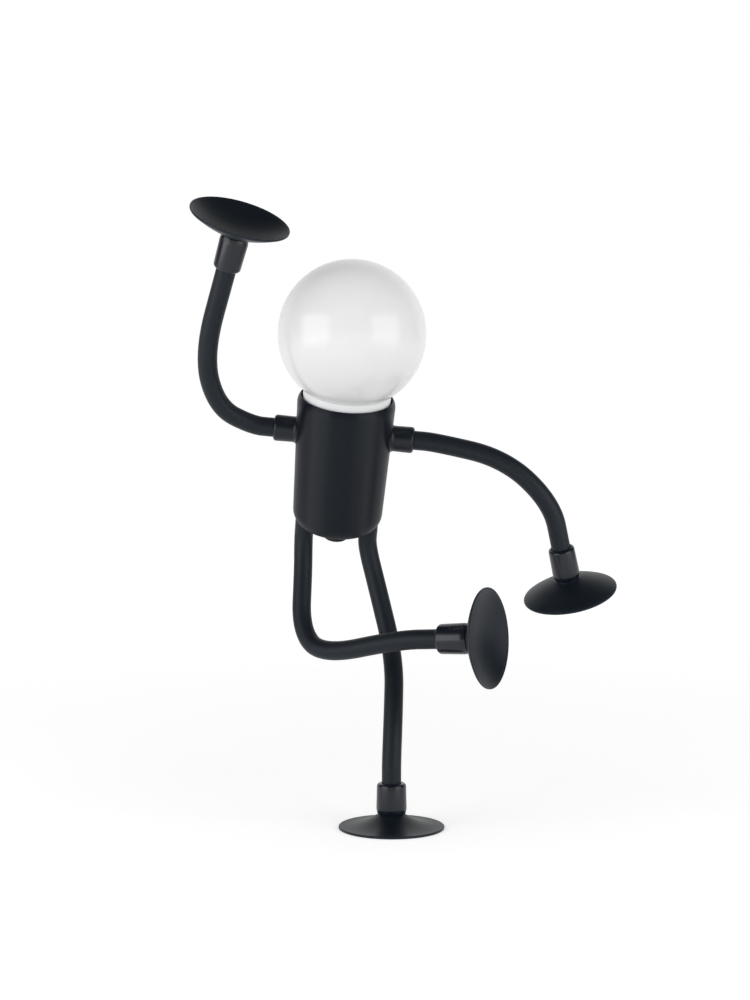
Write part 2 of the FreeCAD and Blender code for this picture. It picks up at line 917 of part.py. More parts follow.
def limb_line(limb):
    begin, outward = limb_start(limb)
    first_run = size.shoulder_run if limb.endswith("arm") else size.hip_run
    points = [begin, begin + outward * float(first_run)]
    names = ["root", "first_bend"]
    for number in range(1, len(LIMBS[limb]["corners"]) + 1):
        place = [float(getattr(size, f"{limb}_corner_{number}_{axis}")) for axis in "xyz"]
        points.append(Vector(*place))
        names.append(f"corner_{number}")
    if limb == "standing_leg":
        ferrule_top = float(size.pressed_height + size.ferrule_length)
        points.append(Vector(0, 0, ferrule_top + float(size.ankle_run)))
        points.append(Vector(0, 0, ferrule_top))
    return CentreLine(points, float(size.tube_seat), names)


def make_limb(limb):
    """Root core, then three lengths of sleeve and core, each core ending in the next knuckle."""
    line = limb_line(limb)
    arm = limb.endswith("arm")
    first = size.shoulder_knuckle if arm else size.hip_knuckle
    knuckles = [float(first)]
    for number, (corner, _) in enumerate(LIMBS[limb]["knuckles"], 2):
        along = float(getattr(size, f"{limb}_knuckle_{number}"))
        knuckles.append(line.after(corner, along))
    knuckles.append(line.length)

    begin, outward = limb_start(limb)
    inside = float(size.shoulder_reach - shoulder_nut_seat if arm else chassis_top)
    inside += float(size.limb_nut_thick + size.core_tail)
    ball_radius = float(size.knuckle_radius)
    core_radius = float(size.core_radius)
    tail_end = begin - outward * inside
    bar = Part.makeCylinder(core_radius, inside + knuckles[0], tail_end, outward)
    ball = Part.makeSphere(ball_radius, line.point(knuckles[0]), outward)
    feature(f"{limb}_core_0", bar.fuse(ball))

    gap = float(size.knuckle_half_gap)
    dish_radius = ball_radius + float(size.knuckle_clearance)
    for number in (1, 2, 3):
        low, high = knuckles[number - 1], knuckles[number]
        last = number == 3
        dish = Part.makeSphere(dish_radius, line.point(low))
        sleeve_line = line.stretch(low + gap, high if last else high - gap)
        sleeve = rod(sleeve_line, float(size.tube_radius)).cut(rod(sleeve_line, float(sleeve_bore)))
        sleeve = sleeve.cut(dish)
        core = rod(line.stretch(low + core_radius, high), core_radius).cut(dish)
        if not last:
            sleeve = sleeve.cut(Part.makeSphere(dish_radius, line.point(high)))
            core = core.fuse(Part.makeSphere(ball_radius, line.point(high)))
        feature(f"{limb}_sleeve_{number}", sleeve)
        feature(f"{limb}_core_{number}", core)
    make_end(limb, line)


# The ferrule and suction cup on the end of a limb. Their frame has +Z out along the limb, from
# the mouth that the tube goes into.
def make_end(limb, line):
    end = line.point(line.length - float(size.tube_seat))
    place = Placement(end, Rotation(Vector(0, 0, 1), line.direction))
    radius = size.hand_ferrule_radius if limb.endswith("arm") else size.foot_ferrule_radius
    mouth_radius = radius - size.ferrule_mouth_drop
    end_radius = radius - size.ferrule_cup_drop
    bore = size.tube_radius + size.fit
    socket = size.plug_radius + size.fit
    socket_level = size.ferrule_length - size.plug_length - size.fit
    ferrule = turned(
        f"{limb}_end_ferrule",
        [
            (0, size.tube_seat),
            (bore, size.tube_seat),
            (bore, 0),
            (mouth_radius, 0),
            (radius, size.ferrule_length - size.ferrule_taper),
            (end_radius, size.ferrule_length),
            (socket, size.ferrule_length),
            (socket, socket_level),
            (0, socket_level),
        ],
    )
    round_edges(ferrule, f"{limb}_mouth_round", size.ferrule_tube_round, [(mouth_radius, 0)])
    cup_edge = [(end_radius, size.ferrule_length)]
    round_edges(ferrule, f"{limb}_cup_round", size.ferrule_cup_round, cup_edge)
    keep(ferrule, place)
    neck = end_radius - size.neck_step
    cup = pressed_cup(limb, neck) if limb == "standing_leg" else relaxed_cup(limb, neck)
    keep(cup, place.multiply(at(z=size.ferrule_length)))


def relaxed_cup(limb, neck):
    return turned(
        f"{limb}_cup",
        [
            (0, -size.plug_length),
            (size.plug_radius, -size.plug_length),
            (size.plug_radius, 0),
            (neck, 0),
            (size.cup_back_arc, 1),
            (size.cup_radius, size.cup_height - size.cup_rim),
            (size.cup_radius, size.cup_height),
            (size.cup_hollow_arc, -1),
            (0, size.cup_web),
        ],
    )


def pressed_cup(limb, neck):
    """The standing cup, squeezed flat on the floor and a little wider."""
    return turned(
        f"{limb}_cup",
        [
            (0, -size.plug_length),
            (size.plug_radius, -size.plug_length),
            (size.plug_radius, 0),
            (neck, 0),
            (size.pressed_arc, -1),
            (size.pressed_radius, size.pressed_height - size.pressed_rim),
            (size.pressed_radius, size.pressed_height),
            (0, size.pressed_height),
        ],
    )


# Shoulder ferrules, shaped to the can's side, and the thin nuts inside on the limbs' cores
inner_at_shoulder = can_inner_radius(size.shoulder_height - size.limb_nut_radius)
flat_seat = root(square(inner_at_shoulder) - square(size.limb_nut_radius))
shoulder_nut_seat = flat_seat - size.plate_clearance


def make_shoulder_ferrules():
    for side, turn in (("left", TO_LEFT), ("right", TO_RIGHT)):
        root_end = size.can_base_radius - size.can_wall
        mouth = size.tube_radius + size.mouth_clearance
        body = turned(
            f"{side}_ferrule_turned",
            [
                (core_hole, root_end),
                (size.shoulder_ferrule_radius, root_end),
                (size.shoulder_ferrule_radius, size.shoulder_reach),
                (mouth, size.shoulder_reach),
                (mouth, size.shoulder_reach - size.mouth_depth),
                (core_hole, size.shoulder_reach - size.mouth_depth),
            ],
        )
        rim = [(size.shoulder_ferrule_radius, size.shoulder_reach)]
        round_edges(body, f"{side}_ferrule_round", size.shoulder_round, rim)
        body.Placement = at(z=size.shoulder_height, turn=turn)
        side_of_can = bind(
            labelled("Part::Cone", f"{side}_side_of_can"),
            Radius1=size.can_base_radius,
            Radius2=size.can_top_radius,
            Height=size.can_height,
        )
        keep(cut(f"{side}_shoulder_ferrule", body, [side_of_can]), CAN)


def make_limb_nuts():
    places = []
    for side, turn in ((1, TO_RIGHT), (-1, TO_LEFT)):
        places.append(at(x=hip_offset * side, z=chassis_top))
        seat = (shoulder_nut_seat - size.limb_nut_thick) * side
        places.append(at(x=seat, z=size.shoulder_height, turn=turn))
    nuts = []
    for number, place in enumerate(places, 1):
        blank = hexagon(f"limb_nut_blank_{number}", size.limb_nut_radius, size.limb_nut_thick)
        hole = cylinder(f"limb_nut_hole_{number}", sleeve_bore, size.limb_nut_thick)
        nut = cut(f"limb_nut_{number}", blank, [hole])
        nut.Placement = place
        nuts.append(nut)
    keep(grouped("limb_nuts", nuts), CAN)


# Insulated leads: inlet to switch, and switch and inlet up to the socket's underside
def make_leads():
    spread = float(size.lead_spread)
    jack_end = float(inlet_wall - size.inlet_depth)
    switch_top = float(chassis_top + size.switch_height)
    level = float(size.inlet_height)
    switch_side = float(size.switch_radius)
    under_socket = float(socket_level)
    riser = (jack_end + switch_side) / 2
    crossing = (switch_top + float(socket_plate_level)) / 2
    routes = (
        ((0, jack_end, level), (0, switch_side, level)),
        ((spread, 0, switch_top), (spread, 0, under_socket)),
        (
            (-spread, jack_end, level),
            (-spread, riser, level),
            (-spread, riser, crossing),
            (-spread, spread, crossing),
            (-spread, spread, under_socket),
        ),
    )
    leads = []
    for number, route in enumerate(routes, 1):
        line = CentreLine([Vector(*point) for point in route])
        lead = labelled("Part::Feature", f"lead_{number}")
        lead.Shape = rod(line.stretch(0, line.length), float(size.lead_radius))
        leads.append(lead)
    keep(grouped("internal_leads", leads), CAN)


make_can()
make_plates()
make_standoffs()
make_screws()
make_socket()
make_bulb()
make_switch()
make_inlet()
make_leads()
make_shoulder_ferrules()
make_limb_nuts()
for limb_name in LIMBS:
    make_limb(limb_name)

document.recompute()
for thing in document.Objects:
    if "Invalid" in thing.State or "Error" in thing.State:
        raise RuntimeError(f"{thing.Label} did not build: {thing.State}")
for node in nodes:
    if node.Shape.isNull() or not node.Shape.isValid():
        raise RuntimeError(f"{node.Label} has no valid shape")

os.makedirs("parts", exist_ok=True)
for node in nodes:
    node.Shape.exportStep(f"parts/{node.Label}.step")
print(f"{len(nodes)} nodes written")
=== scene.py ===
import json
import math

import bpy
from mathutils import Matrix, Vector

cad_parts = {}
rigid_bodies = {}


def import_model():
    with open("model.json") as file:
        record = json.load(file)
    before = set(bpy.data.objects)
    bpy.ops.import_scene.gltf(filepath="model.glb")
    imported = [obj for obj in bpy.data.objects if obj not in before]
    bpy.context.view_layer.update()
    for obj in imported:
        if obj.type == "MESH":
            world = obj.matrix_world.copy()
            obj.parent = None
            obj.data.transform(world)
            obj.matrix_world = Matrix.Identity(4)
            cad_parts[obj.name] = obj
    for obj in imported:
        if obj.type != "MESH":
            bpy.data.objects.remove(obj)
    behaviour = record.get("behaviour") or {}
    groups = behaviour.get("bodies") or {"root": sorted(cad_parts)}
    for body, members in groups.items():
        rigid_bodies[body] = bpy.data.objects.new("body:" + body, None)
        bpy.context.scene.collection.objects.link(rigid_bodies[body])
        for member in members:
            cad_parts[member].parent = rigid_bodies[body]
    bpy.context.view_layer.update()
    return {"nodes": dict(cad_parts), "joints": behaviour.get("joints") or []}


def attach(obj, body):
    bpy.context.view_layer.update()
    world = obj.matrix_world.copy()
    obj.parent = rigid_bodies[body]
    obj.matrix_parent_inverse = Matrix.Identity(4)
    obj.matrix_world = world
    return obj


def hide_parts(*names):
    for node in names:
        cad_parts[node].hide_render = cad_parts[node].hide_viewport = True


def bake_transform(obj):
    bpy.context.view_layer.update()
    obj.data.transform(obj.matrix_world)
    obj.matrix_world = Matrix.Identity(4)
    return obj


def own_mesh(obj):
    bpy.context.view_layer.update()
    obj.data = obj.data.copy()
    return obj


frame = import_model()

# Studio: a pale floor, a white backdrop behind the lamp and a darker room behind the camera, with
# a wide softbox at each side of it. The lamp stands on the floor on one pressed suction cup.
CAMERA_PLACE = (-0.009, -0.818, 0.1787)
CAMERA_LENS = 54.0
SENSOR_HEIGHT = 36.0
LAMP_MIDDLE = Vector((-0.01, 0.0, 0.2))
SOFTBOX_DISTANCE = 0.95
SOFTBOX_SIZE = (0.80, 0.75)
ROOM_LIGHT = 0.50
DARK_ROOM = 0.12
BACKDROP_EDGE = (0.30, 0.80)
FLOOR_RADIUS = 4.0
FLOOR_TONE = 0.86
NEAR_FLOOR = {"distance": 0.2, "lift": 0.42}
FAR_FLOOR = {"distance": 1.4, "lift": 0.62}

bpy.context.scene.view_settings.view_transform = "Standard"

bpy.ops.object.camera_add(location=CAMERA_PLACE, rotation=(math.pi / 2, 0, 0))
camera = bpy.context.object
camera.data.sensor_fit = "VERTICAL"
camera.data.sensor_height = SENSOR_HEIGHT
camera.data.lens = CAMERA_LENS
bpy.context.scene.camera = camera


def softbox(name, degrees_right, height, watts):
    """A softbox round the lamp from the camera, degrees_right of it, aimed at the lamp."""
    angle = math.radians(degrees_right)
    reach = Vector((math.sin(angle), -math.cos(angle), 0)) * SOFTBOX_DISTANCE
    place = Vector((LAMP_MIDDLE.x + reach.x, LAMP_MIDDLE.y + reach.y, height))
    bpy.ops.object.light_add(type="AREA", location=place)
    light = bpy.context.object
    light.name = name
    light.data.shape = "RECTANGLE"
    light.data.size, light.data.size_y = SOFTBOX_SIZE
    light.data.energy = watts
    light.rotation_euler = (LAMP_MIDDLE - place).to_track_quat("-Z", "Y").to_euler()


softbox("softbox_left", -57, 0.27, 4.9)
softbox("softbox_right", 53, 0.27, 4.4)

world = bpy.data.worlds.new("studio_room")
bpy.context.scene.world = world
world.use_nodes = True
nodes, links = world.node_tree.nodes, world.node_tree.links
ray = nodes.new("ShaderNodeLightPath")
way = nodes.new("ShaderNodeTexCoord")
way_parts = nodes.new("ShaderNodeSeparateXYZ")
links.new(way.outputs["Generated"], way_parts.inputs[0])
backdrop = nodes.new("ShaderNodeMapRange")
backdrop.interpolation_type = "SMOOTHSTEP"
backdrop.inputs["From Min"].default_value = BACKDROP_EDGE[0]
backdrop.inputs["From Max"].default_value = BACKDROP_EDGE[1]
backdrop.inputs["To Min"].default_value = DARK_ROOM
backdrop.inputs["To Max"].default_value = 1.0
links.new(way_parts.outputs["Y"], backdrop.inputs["Value"])
mirrored = nodes.new("ShaderNodeMix")
mirrored.inputs["A"].default_value = ROOM_LIGHT
links.new(ray.outputs["Is Glossy Ray"], mirrored.inputs["Factor"])
links.new(backdrop.outputs["Result"], mirrored.inputs["B"])
seen = nodes.new("ShaderNodeMath")
seen.operation = "MAXIMUM"
links.new(ray.outputs["Is Camera Ray"], seen.inputs[0])
links.new(ray.outputs["Is Transmission Ray"], seen.inputs[1])
room = nodes.new("ShaderNodeMix")
room.inputs["B"].default_value = 1.0
links.new(seen.outputs[0], room.inputs["Factor"])
links.new(mirrored.outputs["Result"], room.inputs["A"])
nodes["Background"].inputs["Color"].default_value = (1, 1, 1, 1)
links.new(room.outputs["Result"], nodes["Background"].inputs["Strength"])

bpy.ops.mesh.primitive_circle_add(vertices=96, radius=FLOOR_RADIUS, fill_type="NGON")
floor = bpy.context.object
floor.name = "studio_floor"
floor_paper = bpy.data.materials.new("floor_paper")
floor_paper.use_nodes = True
nodes, links = floor_paper.node_tree.nodes, floor_paper.node_tree.links
paper = nodes["Principled BSDF"]
paper.inputs["Base Color"].default_value = (FLOOR_TONE, FLOOR_TONE, FLOOR_TONE, 1)
paper.inputs["Roughness"].default_value = 0.9
paper.inputs["Specular IOR Level"].default_value = 0.1
ray = nodes.new("ShaderNodeLightPath")
seen = nodes.new("ShaderNodeMath")
seen.operation = "MAXIMUM"
links.new(ray.outputs["Is Camera Ray"], seen.inputs[0])
links.new(ray.outputs["Is Glossy Ray"], seen.inputs[1])
place = nodes.new("ShaderNodeTexCoord")
away = nodes.new("ShaderNodeVectorMath")
away.operation = "LENGTH"
links.new(place.outputs["Object"], away.inputs[0])
paler = nodes.new("ShaderNodeMapRange")
paler.inputs["From Min"].default_value = NEAR_FLOOR["distance"]
paler.inputs["From Max"].default_value = FAR_FLOOR["distance"]
paler.inputs["To Min"].default_value = NEAR_FLOOR["lift"]
paler.inputs["To Max"].default_value = FAR_FLOOR["lift"]
links.new(away.outputs["Value"], paler.inputs["Value"])
lift = nodes.new("ShaderNodeMath")
lift.operation = "MULTIPLY"
links.new(seen.outputs[0], lift.inputs[0])
links.new(paler.outputs["Result"], lift.inputs[1])
paper.inputs["Emission Color"].default_value = (1, 1, 1, 1)
links.new(lift.outputs[0], paper.inputs["Emission Strength"])
floor.data.materials.append(floor_paper)


# Can: the robot's body, a spun aluminium cup with a turned-in lip, painted satin black. The paint
# has a fine orange peel, and the rings left by spinning draw out its highlights along the can.
MM = 0.001
HIP_KNUCKLE = 5.4
SPUN_RINGS = 0.92

joints = {joint["name"]: joint for joint in frame["joints"]}
can_up = Vector(joints["button_press"]["axis"])
shoulders = [Vector(joints[name]["pos_m"]) for name in ("left_shoulder", "right_shoulder")]
hips = [Vector(joints[name]["pos_m"]) for name in ("raised_hip", "standing_hip")]
can_right = (shoulders[1] - shoulders[0]).normalized()
can_back = can_up.cross(can_right)
can_base = (hips[0] + hips[1]) / 2 + can_up * HIP_KNUCKLE * MM
can_turn = Matrix((can_right, can_back, can_up)).transposed().to_4x4()
can_place = Matrix.Translation(can_base) @ can_turn


def grained_skin(
    name, colour, roughness, shine, mottle_scale, grain_scale, grain_height, paler_where=None
):
    """A skin with a fine grain whose shine is a little uneven, and paler where an attribute marks
    it.
    """
    material = bpy.data.materials.new(name)
    material.use_nodes = True
    nodes, links = material.node_tree.nodes, material.node_tree.links
    skin = nodes["Principled BSDF"]
    skin.inputs["Specular IOR Level"].default_value = shine
    place = nodes.new("ShaderNodeTexCoord")
    mottle = nodes.new("ShaderNodeTexNoise")
    mottle.inputs["Scale"].default_value = mottle_scale
    mottle.inputs["Detail"].default_value = 5.0
    links.new(place.outputs["Object"], mottle.inputs["Vector"])
    uneven = nodes.new("ShaderNodeMapRange")
    uneven.inputs["To Min"].default_value = roughness - 0.05
    uneven.inputs["To Max"].default_value = roughness + 0.05
    links.new(mottle.outputs["Fac"], uneven.inputs["Value"])
    links.new(uneven.outputs["Result"], skin.inputs["Roughness"])
    tone = nodes.new("ShaderNodeMix")
    tone.data_type = "RGBA"
    tone.inputs["A"].default_value = (*[part * 0.8 for part in colour], 1)
    tone.inputs["B"].default_value = (*[part * 1.2 for part in colour], 1)
    links.new(mottle.outputs["Fac"], tone.inputs["Factor"])
    links.new(tone.outputs["Result"], skin.inputs["Base Color"])
    # Where the named attribute marks it, the colour is drawn paler; on the cups this is towards the
    # rim's edge.
    if paler_where:
        paleness = nodes.new("ShaderNodeAttribute")
        paleness.attribute_name = paler_where
        paled = nodes.new("ShaderNodeMix")
        paled.data_type = "RGBA"
        paled.inputs["B"].default_value = (*[part * 1.6 + 0.003 for part in colour], 1)
        links.new(paleness.outputs["Fac"], paled.inputs["Factor"])
        links.new(tone.outputs["Result"], paled.inputs["A"])
        links.new(paled.outputs["Result"], skin.inputs["Base Color"])
    grain = nodes.new("ShaderNodeTexNoise")
    grain.inputs["Scale"].default_value = grain_scale
    grain.inputs["Detail"].default_value = 3.0
    links.new(place.outputs["Object"], grain.inputs["Vector"])
    bump = nodes.new("ShaderNodeBump")
    bump.inputs["Strength"].default_value = 0.35
    bump.inputs["Distance"].default_value = grain_height * MM
    links.new(grain.outputs["Fac"], bump.inputs["Height"])
    links.new(bump.outputs["Normal"], skin.inputs["Normal"])
    return material


def dress(material, *node_names):
    """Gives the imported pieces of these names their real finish."""
    for node_name in node_names:
        slots = frame["nodes"][node_name].data.materials
        slots.clear()
        slots.append(material)


def spun(material, axis):
    """Draws a finish's highlights out along an axis, as the fine rings left by spinning do."""
    nodes, links = material.node_tree.nodes, material.node_tree.links
    nodes["Principled BSDF"].inputs["Anisotropic"].default_value = SPUN_RINGS
    along = nodes.new("ShaderNodeVectorTransform")
    along.vector_type = "VECTOR"
    along.convert_from = "OBJECT"
    along.convert_to = "WORLD"
    along.inputs["Vector"].default_value = axis
    links.new(along.outputs["Vector"], nodes["Principled BSDF"].inputs["Tangent"])


satin_paint = grained_skin("satin_paint", (0.0026, 0.0055, 0.0102), 0.44, 0.24, 45, 700, 0.02)
spun(satin_paint, can_up)
dress(satin_paint, "body_shell")


# Plates, screws, nuts and standoffs: stamped or turned in zinc-plated steel, but the standoffs are
# brass. The chassis plate sits on the can's inside corner, and three standoffs on it carry the
# socket plate.
def plated_metal(name, colour, roughness, streaks):
    """Plated metal with fine streaks that vary its shine."""
    material = bpy.data.materials.new(name)
    material.use_nodes = True
    nodes, links = material.node_tree.nodes, material.node_tree.links
    metal = nodes["Principled BSDF"]
    metal.inputs["Metallic"].default_value = 1.0
    place = nodes.new("ShaderNodeTexCoord")
    along = nodes.new("ShaderNodeMapping")
    along.inputs["Scale"].default_value = streaks
    links.new(place.outputs["Object"], along.inputs["Vector"])
    streak = nodes.new("ShaderNodeTexNoise")
    streak.inputs["Scale"].default_value = 260
    streak.inputs["Detail"].default_value = 6.0
    links.new(along.outputs["Vector"], streak.inputs["Vector"])
    shine = nodes.new("ShaderNodeMapRange")
    shine.inputs["To Min"].default_value = roughness - 0.1
    shine.inputs["To Max"].default_value = roughness + 0.1
    links.new(streak.outputs["Fac"], shine.inputs["Value"])
    links.new(shine.outputs["Result"], metal.inputs["Roughness"])
    tone = nodes.new("ShaderNodeMix")
    tone.data_type = "RGBA"
    tone.inputs["A"].default_value = (*[part * 0.85 for part in colour], 1)
    tone.inputs["B"].default_value = (*colour, 1)
    links.new(streak.outputs["Fac"], tone.inputs["Factor"])
    links.new(tone.outputs["Result"], metal.inputs["Base Color"])
    bump = nodes.new("ShaderNodeBump")
    bump.inputs["Strength"].default_value = 0.2
    bump.inputs["Distance"].default_value = 0.01 * MM
    links.new(streak.outputs["Fac"], bump.inputs["Height"])
    links.new(bump.outputs["Normal"], metal.inputs["Normal"])
    return material


ZINC_GREY = (0.62, 0.63, 0.64)
BRASS_YELLOW = (0.72, 0.50, 0.20)

zinc = plated_metal("zinc_plated_steel", ZINC_GREY, 0.34, (1, 6, 6))
dress(zinc, "chassis_plate", "socket_plate", "plate_screws", "limb_nuts")
brass = plated_metal("brass", BRASS_YELLOW, 0.30, (2, 2, 2))
dress(brass, "standoffs")


# Push switch: a black body on the chassis plate, with its bushing through the can's base. A nickel
# ring nut holds it from below, and the round black button hangs under it on a sprung stem.
TURNED_SIDES = 96
CENTRE = 0.4
BUTTON_FACE = -7.2
BUTTON_BACK = -4.8
BUTTON_RADIUS = 6.75
BUTTON_STEM = 2.6
STEM_COLLAR = (5.4, 12.0, 13.5)
STEM_END = 16.0


def turned_piece(name, rings, bored=False, edge_round=0.0):
    """A piece turned about its z axis: a disc or ring, drawn out through (radius, height) pairs in
    millimetres. A solid piece begins and ends near its centre, and a bored piece is joined back to
    its first ring. Sharp edges are eased."""
    bpy.ops.object.select_all(action="DESELECT")
    radius, height = rings[0]
    bpy.ops.mesh.primitive_circle_add(
        vertices=TURNED_SIDES,
        radius=radius * MM,
        location=(0, 0, height * MM),
        fill_type="NOTHING" if bored else "NGON",
    )
    piece = bpy.context.object
    piece.name = name
    bpy.ops.object.transform_apply(location=True)
    bpy.ops.object.mode_set(mode="EDIT")
    bpy.ops.mesh.select_all(action="SELECT")
    for next_radius, next_height in rings[1:]:
        bpy.ops.mesh.extrude_region_move()
        rise = (next_height - height) * MM
        bpy.ops.transform.translate(value=(0, 0, rise))
        share = next_radius / radius
        bpy.ops.transform.resize(value=(share, share, 1), center_override=(0, 0, 0))
        radius, height = next_radius, next_height
    if bored:
        bpy.ops.mesh.select_all(action="DESELECT")
        bpy.ops.mesh.select_mode(type="EDGE")
        bpy.ops.mesh.select_non_manifold()
        bpy.ops.mesh.bridge_edge_loops()
    bpy.ops.mesh.select_mode(type="VERT")
    bpy.ops.mesh.select_all(action="SELECT")
    bpy.ops.mesh.normals_make_consistent(inside=False)
    bpy.ops.object.mode_set(mode="OBJECT")
    if edge_round:
        ease = piece.modifiers.new("eased_edges", "BEVEL")
        ease.width = edge_round * MM
        ease.segments = 3
        ease.limit_method = "ANGLE"
        ease.angle_limit = math.radians(30)
        bpy.ops.object.modifier_apply(modifier=ease.name)
    bpy.ops.object.shade_smooth_by_angle(angle=math.radians(30))
    return piece


def arc_rings(start, end, radius, side, steps):
    """Rings along an arc to end. Side is 1 where its centre is left of the way round, else -1."""
    chord = Vector((end[0] - start[0], end[1] - start[1]))
    middle = Vector((start[0] + end[0], start[1] + end[1])) / 2
    left = Vector((-chord.y, chord.x)).normalized()
    centre = middle + left * side * math.sqrt(radius**2 - (chord.length / 2) ** 2)
    begin = math.atan2(start[1] - centre.y, start[0] - centre.x)
    turn = 2 * math.asin(chord.length / 2 / radius) * side
    angles = [begin + turn * step / steps for step in range(1, steps + 1)]
    return [
        (centre.x + radius * math.cos(angle), centre.y + radius * math.sin(angle))
        for angle in angles
    ]


def finish(piece, material, place, body, slot, *stands_for):
    """Puts a finished piece in its place on its body, with its material."""
    piece.data.transform(place)
    piece.data.materials.clear()
    piece.data.materials.append(material)
    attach(piece, body)
    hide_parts(*stands_for)


moulded_black = grained_skin("moulded_black", (0.0035, 0.0066, 0.0115), 0.36, 0.32, 60, 1100, 0.015)
collar_radius, collar_foot, collar_top = STEM_COLLAR
button = turned_piece(
    "push_button",
    [
        (CENTRE, BUTTON_FACE),
        (3.6, BUTTON_FACE + 0.05),
        (5.7, BUTTON_FACE + 0.25),
        (6.4, BUTTON_FACE + 0.65),
        (BUTTON_RADIUS, BUTTON_FACE + 1.3),
        (BUTTON_RADIUS, BUTTON_BACK - 0.35),
        (BUTTON_RADIUS - 0.35, BUTTON_BACK),
        (BUTTON_STEM, BUTTON_BACK),
        (BUTTON_STEM, collar_foot),
        (collar_radius, collar_foot),
        (collar_radius, collar_top),
        (BUTTON_STEM, collar_top),
        (BUTTON_STEM, STEM_END),
        (CENTRE, STEM_END),
    ],
    edge_round=0.15,
)
finish(button, moulded_black, can_place, "button", "black_plastic", "switch_button")
nickel = plated_metal("nickel_plate", (0.60, 0.58, 0.54), 0.28, (4, 4, 1))
dress(nickel, "switch_nut")
dress(moulded_black, "switch_body")


# Button spring: a coil of nickel-plated wire above the button's collar, in the switch's cavity.
SPRING_RADIUS = 4.2
SPRING_WIRE = 0.35
SPRING_TURNS = 4
CAVITY_ROOF = 20.3

spring_foot = collar_top + SPRING_WIRE
spring_rise = CAVITY_ROOF - SPRING_WIRE - spring_foot
bpy.ops.object.select_all(action="DESELECT")
bpy.ops.mesh.primitive_circle_add(
    vertices=12,
    radius=SPRING_WIRE * MM,
    location=(SPRING_RADIUS * MM, 0, spring_foot * MM),
    rotation=(math.pi / 2, 0, 0),
)
spring = bpy.context.object
spring.name = "button_coil"
bpy.ops.object.transform_apply(location=True, rotation=True)
coil = spring.modifiers.new("coil", "SCREW")
coil.screw_offset = spring_rise / SPRING_TURNS * MM
coil.iterations = SPRING_TURNS
coil.steps = coil.render_steps = 32
coil.use_merge_vertices = False
bpy.ops.object.modifier_apply(modifier=coil.name)
bpy.ops.object.mode_set(mode="EDIT")
bpy.ops.mesh.select_all(action="SELECT")
bpy.ops.mesh.remove_doubles(threshold=1e-6)
bpy.ops.mesh.fill_holes(sides=0)
bpy.ops.mesh.select_all(action="SELECT")
bpy.ops.mesh.normals_make_consistent(inside=False)
bpy.ops.object.mode_set(mode="OBJECT")
bpy.ops.object.shade_smooth_by_angle(angle=math.radians(50))
finish(spring, nickel, can_place, "torso", "steel", "button_spring")
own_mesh(spring)


# Power inlet: a barrel socket through the can's back, moulded in black plastic, with a round flange
# outside, a pin in its bore and a nickel nut inside. Its place has +Z out of the back of the can.
INLET_LEVEL = 19.5
INLET_INNER_END = 13.18
INLET_RADIUS = 4.0
INLET_WALL = 25.78
INLET_FACE = 27.28
FLANGE_RADIUS = 5.5
INLET_BORE = 2.75
BORE_FLOOR = 18.28
PIN_RADIUS = 1.0

raised = Matrix.Translation((0, 0, INLET_LEVEL * MM))
inlet_place = can_place @ raised @ Matrix.Rotation(-math.pi / 2, 4, "X")
inlet = turned_piece(
    "barrel_inlet",
    [
        (CENTRE, INLET_INNER_END),
        (INLET_RADIUS, INLET_INNER_END),
        (INLET_RADIUS, INLET_WALL),
        (FLANGE_RADIUS, INLET_WALL),
        (FLANGE_RADIUS, INLET_FACE),
        (INLET_BORE + 0.7, INLET_FACE),
        (INLET_BORE + 0.5, INLET_FACE - 0.3),
        (INLET_BORE, INLET_FACE - 0.3),
        (INLET_BORE, BORE_FLOOR),
        (PIN_RADIUS, BORE_FLOOR),
        (PIN_RADIUS, INLET_WALL - 0.5),
        (PIN_RADIUS * 0.6, INLET_WALL),
        (CENTRE / 2, INLET_WALL),
    ],
    edge_round=0.12,
)
finish(inlet, moulded_black, inlet_place, "torso", "black_plastic", "power_inlet")
dress(nickel, "inlet_nut")


# Internal leads: stranded copper in soft red insulation, from the inlet to the switch and up to the
# lamp socket.
lead_skin = grained_skin("lead_insulation", (0.45, 0.05, 0.04), 0.48, 0.35, 200, 2500, 0.01)
dress(lead_skin, "internal_leads")


# Gooseneck limbs: each arm and leg is a bendable steel core in one smooth, matt black silicone
# sleeve. The sleeve is drawn along the limb's curve and parted in the middle of each stretch. It
# goes into the can's holes or ferrules and the end ferrules.
SLEEVE_RADIUS = 5.3
SLEEVE_WALL = 0.35
END_SEAT = 7.8
SHOULDER = {"knuckle": 5.2, "run": 12.0, "seat": 3.7}
HIP = {"knuckle": HIP_KNUCKLE, "run": 10.0, "seat": 7.0}
LIMBS = {
    "left_arm": {
        "root": SHOULDER,
        "corners": [(-95.5, 4.0, 229.5), (-101.5, -11.0, 256.5), (-86.5, -35.0, 299.5)],
        "joints": ["left_shoulder", "left_elbow", "left_wrist"],
    },
    "right_arm": {
        "root": SHOULDER,
        "corners": [(63.0, 10.0, 201.5), (89.0, 12.0, 176.5), (95.0, 21.0, 152.0)],
        "joints": ["right_shoulder", "right_elbow", "right_wrist"],
    },
    "raised_leg": {
        "root": HIP,
        "corners": [
            (-50.0, 38.0, 138.0),
            (-51.0, 28.0, 105.5),
            (-38.5, 14.0, 92.4),
            (3.8, -14.3, 103.8),
            (25.2, -25.1, 105.2),
        ],
        "joints": ["raised_hip", "raised_knee", "raised_ankle"],
    },
    "standing_leg": {
        "root": HIP,
        "corners": [
            (-8.0, 40.0, 130.0),
            (2.0, 26.0, 89.5),
            (1.0, 6.0, 59.5),
            (0.0, 0.0, 36.0),
            (0.0, 0.0, 24.5),
        ],
        "joints": ["standing_hip", "standing_knee", "standing_ankle"],
    },
}

